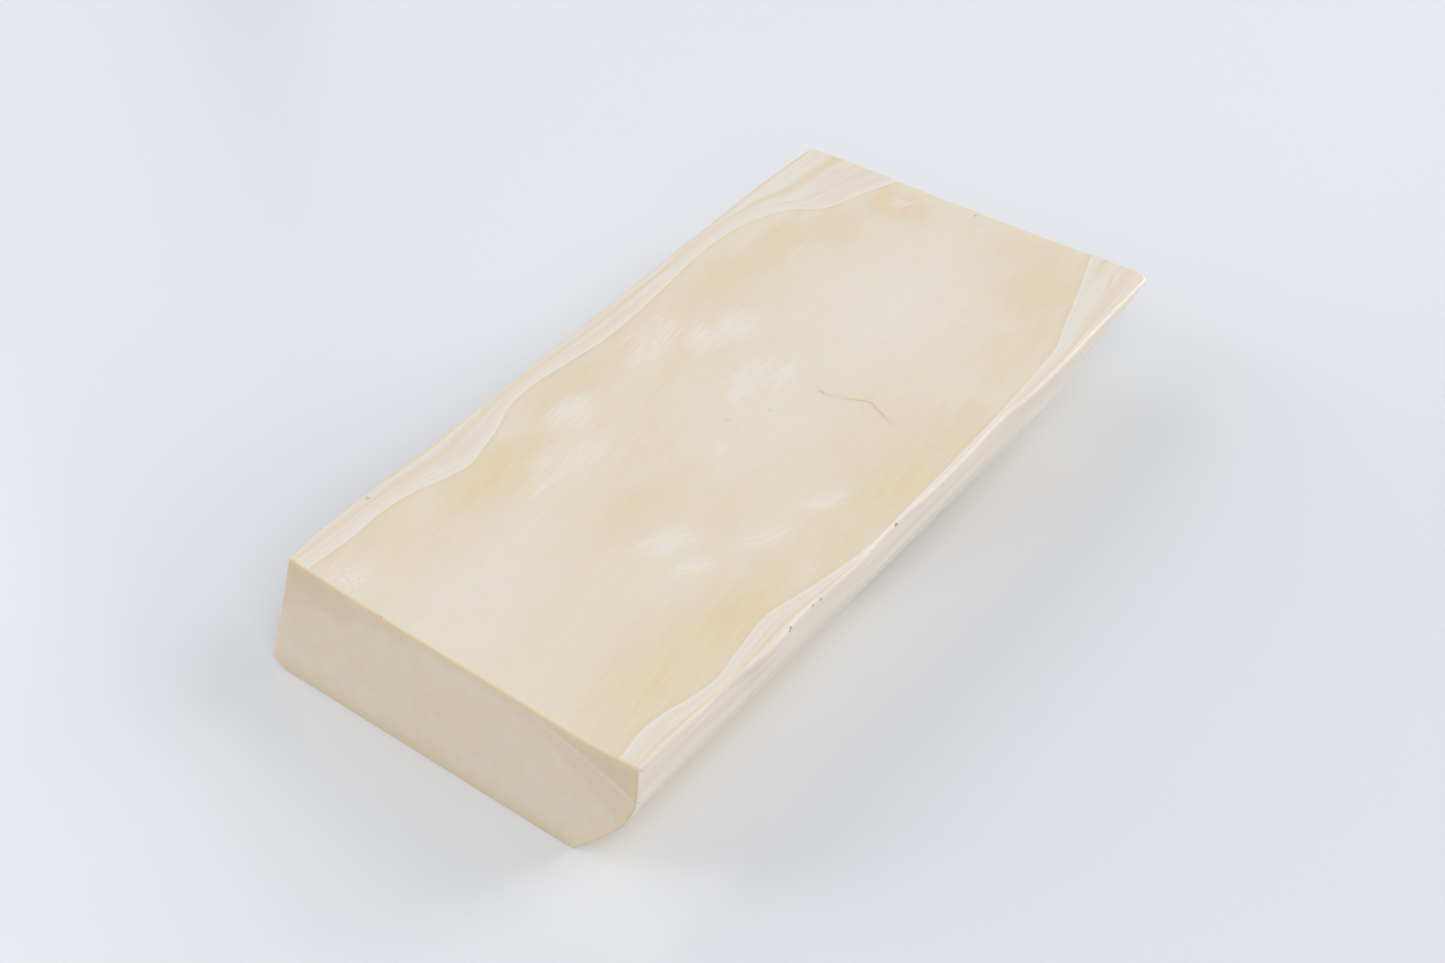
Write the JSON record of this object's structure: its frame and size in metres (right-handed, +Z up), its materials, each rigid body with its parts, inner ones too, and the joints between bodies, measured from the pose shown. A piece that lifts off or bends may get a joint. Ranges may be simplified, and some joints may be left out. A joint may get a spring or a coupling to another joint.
{
  "type": "bone folder",
  "caption": "Thick wedge-shaped bone folder cut from one piece of bone: square heel to hold, flat foot, underside rising to a thin creasing edge.",
  "frame": {"origin": "middle of the overall length and width, on the plane that the flat foot rests on", "axes": "+X along the length from the thick heel to the thin creasing edge, +Y across the width towards the sawn flank and away from the naturally curved one, +Z up from the foot to the top face"},
  "size_m": [0.1126, 0.0574, 0.018],
  "materials": {
    "bone": "ivory-coloured bone, hand sanded to a soft satin, with growth lines and fine lengthwise scratches"
  },
  "bodies": {
    "root": {"folding_blade": "bone"}
  },
  "joints": []
}
